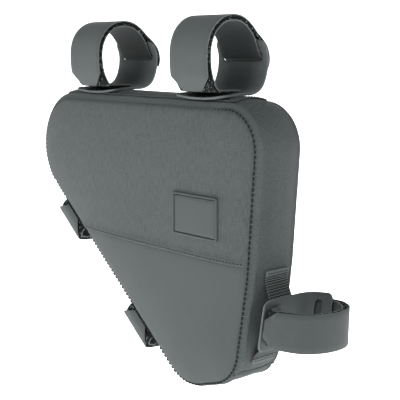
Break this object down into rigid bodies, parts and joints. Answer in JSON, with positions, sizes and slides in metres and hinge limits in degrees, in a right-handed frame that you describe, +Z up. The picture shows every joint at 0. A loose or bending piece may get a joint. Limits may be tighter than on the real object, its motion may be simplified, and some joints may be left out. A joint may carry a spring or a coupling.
{
  "type": "bicycle frame bag",
  "caption": "Padded triangular bag with a front panel seam and a label patch, hung in a bicycle frame by slotted hook and loop straps.",
  "frame": {"origin": "point of the bicycle top tube's axis midway between the two top straps, in the bag's mid-plane", "axes": "+X along the top tube towards the seat tube, +Y away from the labelled face, +Z up"},
  "size_m": [0.3831, 0.0766, 0.3203],
  "materials": {
    "front_upper_panel": "matt woven cloth",
    "front_lower_panel": "matt smooth cloth",
    "label_patch": "satin moulded",
    "gusset_top_seat": "matt twill cloth",
    "gusset_lower": "matt twill cloth",
    "back_panel": "matt twill cloth",
    "back_zip": "matt coated tape",
    "top_patch": "matt twill cloth",
    "seat_webbing": "matt ribbed webbing",
    "strap_top_left_head": "matt smooth strap",
    "strap_top_left_band": "matt smooth strap",
    "strap_top_right_head": "matt smooth strap",
    "strap_top_right_band": "matt smooth strap",
    "strap_seat_head": "matt smooth strap",
    "strap_seat_band": "matt smooth strap",
    "strap_down_upper_head": "matt smooth strap",
    "strap_down_upper_band": "matt smooth strap",
    "strap_down_lower_head": "matt smooth strap",
    "strap_down_lower_band": "matt smooth strap"
  },
  "bodies": {
    "root": {"front_upper_panel": "front_upper_panel", "front_lower_panel": "front_lower_panel", "label_patch": "label_patch", "gusset_top_seat": "gusset_top_seat", "gusset_lower": "gusset_lower", "back_panel": "back_panel", "back_zip": "back_zip", "top_patch": "top_patch", "seat_webbing": "seat_webbing", "strap_top_left_head": "strap_top_left_head", "strap_top_left_band": "strap_top_left_band", "strap_top_right_head": "strap_top_right_head", "strap_top_right_band": "strap_top_right_band", "strap_seat_head": "strap_seat_head", "strap_seat_band": "strap_seat_band", "strap_down_upper_head": "strap_down_upper_head", "strap_down_upper_band": "strap_down_upper_band", "strap_down_lower_head": "strap_down_lower_head", "strap_down_lower_band": "strap_down_lower_band"}
  },
  "joints": []
}
